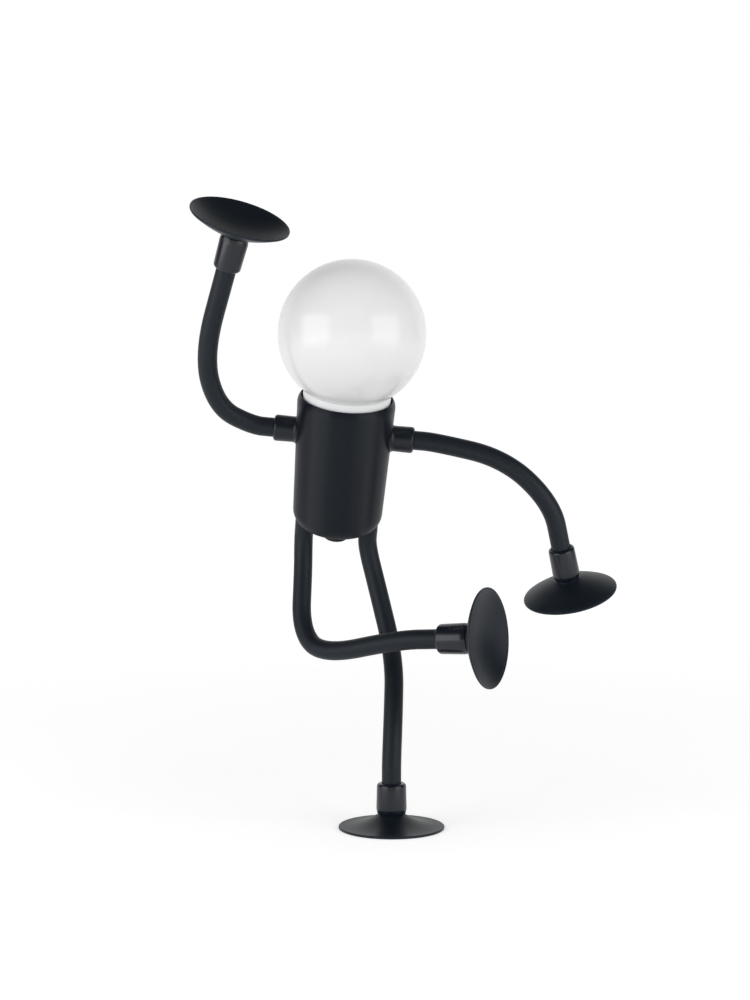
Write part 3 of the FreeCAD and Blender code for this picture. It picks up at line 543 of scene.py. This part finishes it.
silicone = grained_skin("silicone_sleeve", (0.0075, 0.0115, 0.0175), 0.50, 0.24, 90, 1500, 0.02)
spring_steel = plated_metal("spring_steel", (0.45, 0.45, 0.46), 0.38, (3, 3, 3))


def limb_route(limb):
    """The points of a limb's curve, from inside the can or shoulder to the end ferrule's bore."""
    root = limb["root"]
    knuckle = Vector(joints[limb["joints"][0]]["pos_m"])
    if root is HIP:
        outward = -can_up
    else:
        outward = ((knuckle - can_base).dot(can_right) * can_right).normalized()
    mouth = knuckle - outward * root["knuckle"] * MM
    corners = [Vector(corner) * MM for corner in limb["corners"]]
    last_way = (corners[-1] - corners[-2]).normalized()
    inside = mouth - outward * root["seat"] * MM
    turn_in = mouth + outward * root["run"] * MM
    return [inside, mouth, turn_in, *corners, corners[-1] + last_way * END_SEAT * MM]


def draw_path(name, route):
    """A smooth curve whose control points are the route's."""
    bpy.ops.object.select_all(action="DESELECT")
    bpy.ops.curve.primitive_nurbs_path_add()
    path = bpy.context.object
    path.name = name
    spline = path.data.splines[0]
    spline.points.add(len(route) - len(spline.points))
    for point, place in zip(spline.points, route):
        point.co = (*place, 1)
    spline.order_u = 3
    spline.use_endpoint_u = True
    spline.resolution_u = 24
    path.data.dimensions = "3D"
    return path


def line_of(path):
    """Points along a path's smooth line, and how far along it each lies."""
    mesh = bpy.data.meshes.new_from_object(path)
    points = [vertex.co.copy() for vertex in mesh.vertices]
    bpy.data.meshes.remove(mesh)
    lengths = [0.0]
    for before, after in zip(points, points[1:]):
        lengths.append(lengths[-1] + (after - before).length)
    return points, lengths


def sleeve_piece(name, path, begin, finish_at, length):
    """One piece of a limb's sleeve, a thin tube between two lengths of its path."""
    bpy.ops.object.select_all(action="DESELECT")
    path.select_set(True)
    bpy.context.view_layer.objects.active = path
    bpy.ops.object.duplicate()
    piece = bpy.context.object
    piece.name = name
    curve = piece.data
    curve.bevel_depth = SLEEVE_RADIUS * MM
    curve.bevel_resolution = 14
    curve.bevel_factor_mapping_start = "SPLINE"
    curve.bevel_factor_mapping_end = "SPLINE"
    curve.bevel_factor_start = begin / length
    curve.bevel_factor_end = finish_at / length
    bpy.ops.object.convert(target="MESH")
    piece = bpy.context.object
    bpy.ops.object.mode_set(mode="EDIT")
    bpy.ops.mesh.select_all(action="SELECT")
    bpy.ops.mesh.remove_doubles(threshold=1e-6)
    bpy.ops.mesh.normals_make_consistent(inside=False)
    bpy.ops.object.mode_set(mode="OBJECT")
    wall = piece.modifiers.new("wall", "SOLIDIFY")
    wall.thickness = SLEEVE_WALL * MM
    wall.offset = -1
    bpy.ops.object.modifier_apply(modifier=wall.name)
    bpy.ops.object.shade_smooth_by_angle(angle=math.radians(40))
    piece.data.materials.clear()
    piece.data.materials.append(silicone)
    return piece


for limb_name, limb in LIMBS.items():
    path = draw_path(f"{limb_name}_path", limb_route(limb))
    points, lengths = line_of(path)
    length = lengths[-1]
    knuckles = []
    for joint_name in limb["joints"]:
        place = Vector(joints[joint_name]["pos_m"])
        nearest = min(range(len(points)), key=lambda index: (points[index] - place).length)
        knuckles.append(lengths[nearest])
    partings = [0.0, (knuckles[0] + knuckles[1]) / 2, (knuckles[1] + knuckles[2]) / 2, length]
    for number, joint_name in enumerate(limb["joints"], 1):
        name = f"{limb_name}_silicone_{number}"
        piece = sleeve_piece(name, path, partings[number - 1], partings[number], length)
        if limb_name == "standing_leg":
            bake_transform(piece)
        else:
            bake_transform(piece)
        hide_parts(f"{limb_name}_sleeve_{number}")
    bpy.data.objects.remove(path)
    dress(spring_steel, *[f"{limb_name}_core_{number}" for number in range(4)])


# Shoulder ferrules: short turned aluminium sleeves on the can's sides, painted black and a little
# glossier than it. They flare where they fit the wall, and are rounded at the arm's mouth.
SHOULDER_LEVEL = 57.0
SHOULDER_ROOT = 25.0
SHOULDER_REACH = 38.9
SHOULDER_RADIUS = 7.3
SHOULDER_ROUND = 1.7
SHOULDER_MOUTH = 5.45
MOUTH_DEPTH = 4.0
CORE_BORE = 3.7
FLARE_FOOT = (8.3, 26.1)
FLARE_TOP = (7.15, 28.4)
FLARE_ROUND = 2.4

ferrule_black = (0.0035, 0.0066, 0.0115)
ferrule_paint = grained_skin("ferrule_paint", ferrule_black, 0.36, 0.32, 60, 1100, 0.015)
mouth_round = (SHOULDER_RADIUS, SHOULDER_REACH - SHOULDER_ROUND)
mouth_edge = (SHOULDER_RADIUS - SHOULDER_ROUND, SHOULDER_REACH)
for side, quarter in (("left", -math.pi / 2), ("right", math.pi / 2)):
    ferrule = turned_piece(
        f"{side}_shoulder_sleeve",
        [
            (CORE_BORE, SHOULDER_ROOT),
            (FLARE_FOOT[0], SHOULDER_ROOT),
            FLARE_FOOT,
            *arc_rings(FLARE_FOOT, FLARE_TOP, FLARE_ROUND, -1, 5),
            mouth_round,
            *arc_rings(mouth_round, mouth_edge, SHOULDER_ROUND, 1, 6),
            (SHOULDER_MOUTH, SHOULDER_REACH - 0.1),
            (SHOULDER_MOUTH, SHOULDER_REACH - MOUTH_DEPTH),
            (CORE_BORE, SHOULDER_REACH - MOUTH_DEPTH),
        ],
        bored=True,
    )
    raised = Matrix.Translation((0, 0, SHOULDER_LEVEL * MM))
    place = can_place @ raised @ Matrix.Rotation(quarter, 4, "Y")
    finish(ferrule, ferrule_paint, place, "torso", "black_paint", f"{side}_shoulder_ferrule")


# End ferrules: a turned aluminium ferrule on the end of each limb, painted a glossier black. It is
# rounded at the limb's end and narrower at the cup's, and a foot's is wider than a hand's.
FERRULE_LENGTH = 16.5
OVER_NECK = {"hand": 2.1, "raised foot": 1.05, "standing foot": 0.15}
FERRULE_TAPER = 3.2
TUBE_ROUND = 1.6
TUBE_BORE = 5.45
TUBE_DEPTH = 8.0
PLUG_BORE = 4.1
PLUG_FLOOR = 9.9
FERRULE_RADII = {"hand": 7.6, "foot": 8.3}
NECK_RADII = {"hand": 6.4, "foot": 7.1}
MOUTH_DROP = 0.3
CUP_DROP = 0.6
NECK_ROOM = 0.05


def ferrule_model(name, radius, neck, over):
    """A ferrule with a bore for the limb, one for the cup's plug and a wider one for the neck,
    which it reaches over."""
    mouth = radius - MOUTH_DROP
    shoulder = (mouth, TUBE_ROUND)
    end = FERRULE_LENGTH + over
    return turned_piece(
        name,
        [
            (CENTRE, TUBE_DEPTH),
            (TUBE_BORE, TUBE_DEPTH),
            (TUBE_BORE, 0.25),
            (mouth - TUBE_ROUND, 0.0),
            *arc_rings((mouth - TUBE_ROUND, 0.0), shoulder, TUBE_ROUND, 1, 6),
            (radius, end - FERRULE_TAPER),
            (radius - 0.15, end - FERRULE_TAPER * 0.6),
            (radius - CUP_DROP, end - 0.35),
            (radius - CUP_DROP - 0.1, end - 0.1),
            (radius - CUP_DROP - 0.3, end),
            (neck + NECK_ROOM, end),
            (neck + NECK_ROOM, FERRULE_LENGTH - NECK_ROOM),
            (PLUG_BORE, FERRULE_LENGTH - NECK_ROOM),
            (PLUG_BORE, PLUG_FLOOR),
            (CENTRE, PLUG_FLOOR),
        ],
    )


def copied(model, name):
    """A copy of a modelled piece, with a mesh of its own."""
    copy = model.copy()
    copy.data = model.data.copy()
    copy.name = name
    bpy.context.collection.objects.link(copy)
    return copy


def end_place(limb_name):
    """The place of a limb's end: its origin in the ferrule's mouth and +Z out along the limb."""
    corners = [Vector(corner) * MM for corner in LIMBS[limb_name]["corners"]]
    way = corners[-1] - corners[-2]
    turn = Vector((0, 0, 1)).rotation_difference(way).to_matrix().to_4x4()
    return Matrix.Translation(corners[-1]) @ turn


def end_body(limb_name):
    joint = joints[LIMBS[limb_name]["joints"][-1]]
    return joint["parent"] if limb_name == "standing_leg" else joint["child"]


gloss_paint = grained_skin("gloss_paint", (0.0036, 0.0068, 0.0125), 0.26, 0.44, 60, 1100, 0.012)
hand, foot = [(FERRULE_RADII[kind], NECK_RADII[kind]) for kind in ("hand", "foot")]
hand_ferrule = ferrule_model("hand_ferrule", *hand, OVER_NECK["hand"])
ferrules = {
    "left_arm": hand_ferrule,
    "right_arm": copied(hand_ferrule, "right_hand_ferrule"),
    "raised_leg": ferrule_model("foot_ferrule", *foot, OVER_NECK["raised foot"]),
    "standing_leg": ferrule_model("foot_ferrule", *foot, OVER_NECK["standing foot"]),
}
for limb_name, ferrule in ferrules.items():
    ferrule.name = f"{limb_name}_ferrule"
    place, body = end_place(limb_name), end_body(limb_name)
    finish(ferrule, gloss_paint, place, body, "black_paint", f"{limb_name}_end_ferrule")


# Slack suction cups, on the hands and the raised foot: soft black rubber, moulded in one piece with
# a plug that is pressed into the ferrule. The back is a shallow cone, a little domed, the face is
# hollow, and the rim is coloured a little paler towards its edge.
PLUG_RADIUS = 4.0
PLUG_LENGTH = 6.5
PLUG_BEVEL = 0.4
PLUG_TOP = 0.02
CUP_RADIUS = 26.5
CUP_HEIGHT = 12.2
CUP_RIM = 1.0
CUP_WEB = 4.4
CUP_NECK = 2.3
NECK_FLARE = 1.1
WAIST_ROUND = 2.4
BACK_ARC = 75.0
HOLLOW_ARC = 46.0
PALER_FROM = 0.9

cup_plug = [
    (CENTRE, -PLUG_LENGTH),
    (PLUG_RADIUS - PLUG_BEVEL, -PLUG_LENGTH),
    (PLUG_RADIUS, -PLUG_LENGTH + PLUG_BEVEL),
    (PLUG_RADIUS, PLUG_TOP),
]


def paler_rim(piece, radius):
    """Marks how much paler a cup is coloured: not at all inside, and fully at its rim."""
    paleness = piece.data.attributes.new("paler_rim", "FLOAT", "POINT")
    begin = radius * PALER_FROM
    values = []
    for vertex in piece.data.vertices:
        out = math.hypot(vertex.co.x, vertex.co.y) / MM
        values.append(min(max((out - begin) / (radius - begin), 0.0), 1.0) ** 2)
    paleness.data.foreach_set("value", values)


def slack_cup(name, neck):
    waist = (neck - 0.15, CUP_NECK - 0.5)
    flare = (neck - 0.15 + NECK_FLARE, CUP_NECK + NECK_FLARE * 0.65)
    edge = (CUP_RADIUS - 0.3, CUP_HEIGHT - CUP_RIM - 0.15)
    lip = (CUP_RADIUS - 0.35, CUP_HEIGHT)
    inner_rim = (CUP_RADIUS - 1.0, CUP_HEIGHT - 0.2)
    cup = turned_piece(
        name,
        [
            *cup_plug,
            (neck, PLUG_TOP),
            waist,
            *arc_rings(waist, flare, WAIST_ROUND, -1, 5),
            *arc_rings(flare, edge, BACK_ARC, 1, 14),
            (CUP_RADIUS - 0.05, CUP_HEIGHT - CUP_RIM + 0.15),
            (CUP_RADIUS, CUP_HEIGHT - CUP_RIM / 2),
            (CUP_RADIUS - 0.08, CUP_HEIGHT - 0.15),
            lip,
            inner_rim,
            *arc_rings(inner_rim, (CENTRE, CUP_WEB), HOLLOW_ARC, -1, 16),
        ],
    )
    paler_rim(cup, CUP_RADIUS)
    return cup


rubber_black = (0.0042, 0.0080, 0.0135)
# The cups' rubber is coloured paler towards each rim's edge.
rubber = grained_skin("cup_rubber", rubber_black, 0.43, 0.24, 70, 900, 0.02, paler_where="paler_rim")
to_cup = Matrix.Translation((0, 0, FERRULE_LENGTH * MM))
cup_models = {kind: slack_cup(f"{kind}_cup", neck) for kind, neck in NECK_RADII.items()}
for limb_name in ("left_arm", "right_arm", "raised_leg"):
    kind = "hand" if limb_name.endswith("arm") else "foot"
    cup = copied(cup_models[kind], f"{limb_name}_suction_cup")
    place, body = end_place(limb_name) @ to_cup, end_body(limb_name)
    finish(cup, rubber, place, body, "cup_rubber", f"{limb_name}_cup")
for model in cup_models.values():
    bpy.data.objects.remove(model)


# Standing cup: the same kind of cup pressed down on the floor. Its back is hollowed like a
# trumpet, its rim is spread wider, and a shallow hollow is left under it.
PRESSED_RADIUS = 28.9
PRESSED_HEIGHT = 8.0
PRESSED_RIM = 1.3
PRESSED_ARC = 34.0
HELD_RADIUS = 21.0
HELD_HOLLOW = 0.7

neck_foot = (NECK_RADII["foot"] + 0.05, 0.2)
rim_top = (PRESSED_RADIUS - 0.35, PRESSED_HEIGHT - PRESSED_RIM - 0.05)
pressed = turned_piece(
    "standing_leg_suction_cup",
    [
        *cup_plug,
        (NECK_RADII["foot"], PLUG_TOP),
        neck_foot,
        *arc_rings(neck_foot, rim_top, PRESSED_ARC, -1, 16),
        (PRESSED_RADIUS - 0.08, PRESSED_HEIGHT - PRESSED_RIM + 0.2),
        (PRESSED_RADIUS, PRESSED_HEIGHT - PRESSED_RIM / 2),
        (PRESSED_RADIUS - 0.08, PRESSED_HEIGHT - 0.2),
        (PRESSED_RADIUS - 0.4, PRESSED_HEIGHT),
        (HELD_RADIUS, PRESSED_HEIGHT),
        (HELD_RADIUS - 4.0, PRESSED_HEIGHT - HELD_HOLLOW),
        (CENTRE, PRESSED_HEIGHT - HELD_HOLLOW),
    ],
)
# The pressed cup is coloured paler towards its rim's edge too.
paler_rim(pressed, PRESSED_RADIUS)
standing_place = end_place("standing_leg") @ to_cup
standing_body = end_body("standing_leg")
finish(pressed, rubber, standing_place, standing_body, "cup_rubber", "standing_leg_cup")


# Lamp socket: a heat-proof cup moulded in off-white plastic, on the upper plate, with a threaded
# brass sleeve and a brass contact in its floor.
THREAD_PITCH = 3.6
THREAD_DEPTH = 0.9
WAVES_AT_SCALE_ONE = 3.18
THREAD_BANDS = 1 / (THREAD_PITCH * MM) / WAVES_AT_SCALE_ONE


def pale_plastic(name, colour, roughness, shine, cloud_scale):
    """White plastic, a little cloudy, with a faint moulded skin."""
    material = bpy.data.materials.new(name)
    material.use_nodes = True
    nodes, links = material.node_tree.nodes, material.node_tree.links
    skin = nodes["Principled BSDF"]
    skin.inputs["Specular IOR Level"].default_value = shine
    place = nodes.new("ShaderNodeTexCoord")
    cloud = nodes.new("ShaderNodeTexNoise")
    cloud.inputs["Scale"].default_value = cloud_scale
    cloud.inputs["Detail"].default_value = 4.0
    links.new(place.outputs["Object"], cloud.inputs["Vector"])
    tone = nodes.new("ShaderNodeMix")
    tone.data_type = "RGBA"
    tone.inputs["A"].default_value = (*[part * 0.985 for part in colour], 1)
    tone.inputs["B"].default_value = (*colour, 1)
    links.new(cloud.outputs["Fac"], tone.inputs["Factor"])
    links.new(tone.outputs["Result"], skin.inputs["Base Color"])
    uneven = nodes.new("ShaderNodeMapRange")
    uneven.inputs["To Min"].default_value = roughness - 0.02
    uneven.inputs["To Max"].default_value = roughness + 0.02
    links.new(cloud.outputs["Fac"], uneven.inputs["Value"])
    links.new(uneven.outputs["Result"], skin.inputs["Roughness"])
    ripple = nodes.new("ShaderNodeBump")
    ripple.inputs["Strength"].default_value = 0.15
    ripple.inputs["Distance"].default_value = 0.05 * MM
    links.new(cloud.outputs["Fac"], ripple.inputs["Height"])
    links.new(ripple.outputs["Normal"], skin.inputs["Normal"])
    return material


def threaded(material):
    """Adds the ridges of a rolled screw thread, square to the can's axis, to a metal."""
    nodes, links = material.node_tree.nodes, material.node_tree.links
    place = nodes.new("ShaderNodeTexCoord")
    into_can = nodes.new("ShaderNodeMapping")
    inverse = can_place.inverted()
    into_can.inputs["Location"].default_value = inverse.to_translation()
    into_can.inputs["Rotation"].default_value = inverse.to_euler()
    links.new(place.outputs["Object"], into_can.inputs["Vector"])
    ridges = nodes.new("ShaderNodeTexWave")
    ridges.bands_direction = "Z"
    ridges.inputs["Scale"].default_value = THREAD_BANDS
    links.new(into_can.outputs["Vector"], ridges.inputs["Vector"])
    rolled = nodes.new("ShaderNodeBump")
    rolled.inputs["Distance"].default_value = THREAD_DEPTH * MM
    links.new(ridges.outputs["Fac"], rolled.inputs["Height"])
    metal = nodes["Principled BSDF"]
    streaks = metal.inputs["Normal"].links[0].from_socket
    links.new(streaks, rolled.inputs["Normal"])
    links.new(rolled.outputs["Normal"], metal.inputs["Normal"])
    return material


dress(pale_plastic("socket_plastic", (0.78, 0.76, 0.71), 0.45, 0.35, 80), "socket_insulator")
dress(brass, "socket_contact")
threaded_brass = threaded(plated_metal("threaded_brass", BRASS_YELLOW, 0.30, (2, 2, 2)))
dress(threaded_brass, "socket_sleeve")


# Bulb housing: the white collar that shows above the can's lip, moulded with a cone and a spigot
# for the screw cap, and a recess for the board of chips.
HOUSING_LEVEL = 60.5
HOUSING_TOP = 22.3
CONE_FOOT = 14.2
CONE_LENGTH = 10.5
COLLAR_RADIUS = 24.1
BOARD_RECESS = 22.3
BOARD_LEVEL = 19.9
BOARD_LEDGE = 19.5
HOUSING_BORE = 11.2
SPIGOT = (12.85, -6.5)

white_plastic = pale_plastic("white_plastic", (0.81, 0.82, 0.83), 0.38, 0.4, 30)
housing = turned_piece(
    "bulb_collar",
    [
        (CONE_FOOT, 0.0),
        (COLLAR_RADIUS, CONE_LENGTH),
        (COLLAR_RADIUS, HOUSING_TOP),
        (BOARD_RECESS, HOUSING_TOP),
        (BOARD_RECESS, BOARD_LEVEL),
        (BOARD_LEDGE, BOARD_LEVEL),
        (BOARD_LEDGE, CONE_LENGTH),
        (HOUSING_BORE, 0.0),
        (HOUSING_BORE, SPIGOT[1]),
        SPIGOT,
        (SPIGOT[0], 0.0),
    ],
    bored=True,
    edge_round=0.25,
)
housing_place = can_place @ Matrix.Translation((0, 0, HOUSING_LEVEL * MM))
finish(housing, white_plastic, housing_place, "torso", "white_plastic", "bulb_housing")


# Inside the bulb: a white aluminium board with its ring of chips, and the threaded screw cap with
# black glass and a soldered tip.
dress(pale_plastic("board_mask", (0.78, 0.78, 0.76), 0.35, 0.4, 60), "led_board")
dress(threaded(plated_metal("cap_metal", (0.66, 0.66, 0.65), 0.26, (2, 2, 2))), "bulb_screw_cap")
dress(grained_skin("cap_glass", (0.012, 0.011, 0.014), 0.12, 0.5, 90, 500, 0.01), "bulb_cap_glass")
dress(plated_metal("solder", (0.52, 0.52, 0.53), 0.42, (4, 4, 4)), "bulb_tip_contact")


# Globe: the robot's head, an opal plastic ball blown in one piece and open at its neck, where it
# is glued in the collar. Its skin is smooth and glossy.
GLOBE_RADIUS = 40.0
GLOBE_WALL = 1.2
GLOBE_NECK = 24.0
SEAM_LEVEL = 82.8

opal = pale_plastic("opal_globe", (0.865, 0.865, 0.865), 0.20, 0.5, 18)
neck_depth = math.sqrt(GLOBE_RADIUS**2 - GLOBE_NECK**2)
bpy.ops.object.select_all(action="DESELECT")
bpy.ops.mesh.primitive_uv_sphere_add(segments=96, ring_count=64, radius=GLOBE_RADIUS * MM)
globe = bpy.context.object
globe.name = "opal_globe"
bpy.ops.object.mode_set(mode="EDIT")
bpy.ops.mesh.select_all(action="SELECT")
bpy.ops.mesh.bisect(plane_co=(0, 0, -neck_depth * MM), plane_no=(0, 0, 1), clear_inner=True)
bpy.ops.mesh.select_all(action="SELECT")
bpy.ops.mesh.normals_make_consistent(inside=False)
bpy.ops.object.mode_set(mode="OBJECT")
wall = globe.modifiers.new("wall", "SOLIDIFY")
wall.thickness = GLOBE_WALL * MM
wall.offset = -1
bpy.ops.object.modifier_apply(modifier=wall.name)
bpy.ops.object.shade_smooth_by_angle(angle=math.radians(40))
globe_place = can_place @ Matrix.Translation((0, 0, (SEAM_LEVEL + neck_depth) * MM))
finish(globe, opal, globe_place, "torso", "opal_plastic", "bulb_globe")
